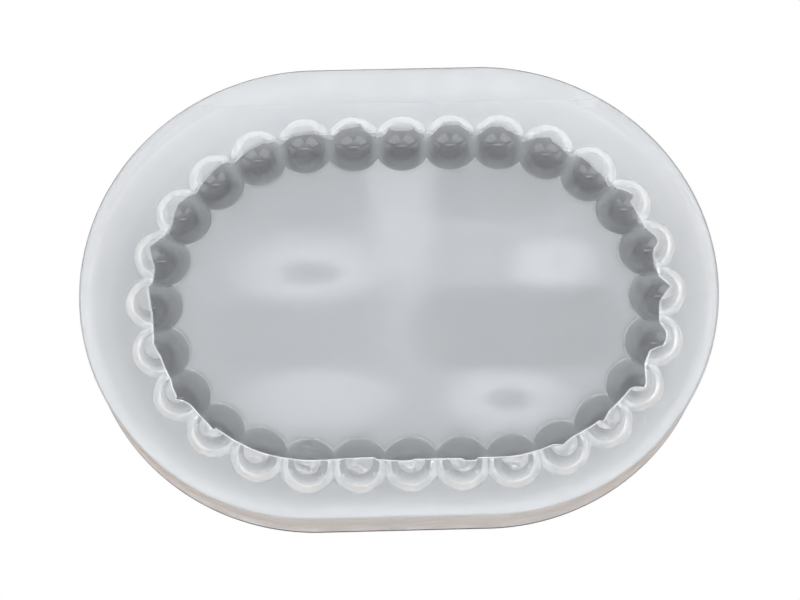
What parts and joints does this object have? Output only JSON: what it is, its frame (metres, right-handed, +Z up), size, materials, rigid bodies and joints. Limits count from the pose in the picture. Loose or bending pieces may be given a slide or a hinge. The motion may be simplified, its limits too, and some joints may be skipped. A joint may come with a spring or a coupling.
{
  "type": "resin casting mould",
  "caption": "One-piece flexible mould for casting an oval tray with a beaded edge: a shallow flat recess ringed by round bead pits, open on top.",
  "frame": {"origin": "middle of the outer block's footprint, on its flat underside", "axes": "+X along the oval's length, +Y across it towards the far long side, +Z up out of the open face"},
  "size_m": [0.127, 0.094, 0.0125],
  "materials": {
    "silicone": "clear milky silicone, glossy"
  },
  "bodies": {
    "root": {"mould_body": "silicone"}
  },
  "joints": []
}
